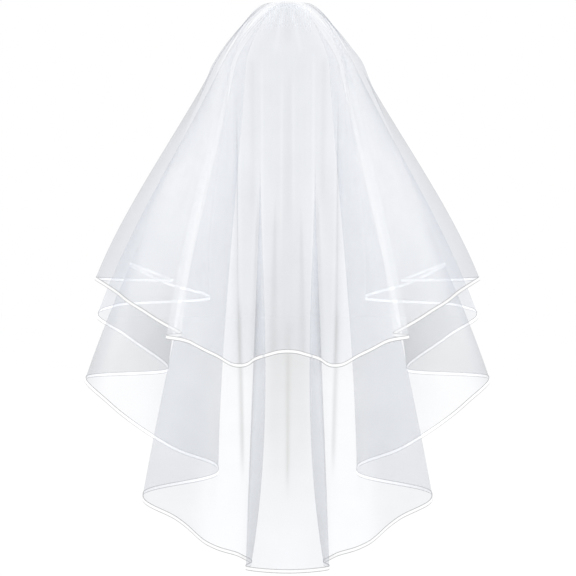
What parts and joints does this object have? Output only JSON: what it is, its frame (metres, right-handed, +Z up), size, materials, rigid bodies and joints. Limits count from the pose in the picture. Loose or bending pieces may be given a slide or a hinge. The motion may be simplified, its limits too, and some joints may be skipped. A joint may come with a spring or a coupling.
{
  "type": "bridal veil",
  "caption": "Short tiered bridal veil of white tulle with satin ribbon edges, gathered onto a hair comb and falling in open folds.",
  "frame": {"origin": "on the crown of the wearer's head, under the middle of the comb's spine", "axes": "+Z up, +Y the way the wearer faces, so the back of the veil is at -Y; +X to the wearer's right"},
  "size_m": [0.5552, 0.2982, 0.7707],
  "materials": {
    "tulle": "fine sheer white net with a slight sheen",
    "satin_ribbon": "white satin ribbon, soft gloss",
    "comb_plastic": "clear moulded plastic"
  },
  "bodies": {
    "root": {"long_tier": "tulle", "short_tier": "tulle", "long_ribbon": "satin_ribbon", "short_ribbon": "satin_ribbon", "comb": "comb_plastic"}
  },
  "joints": []
}
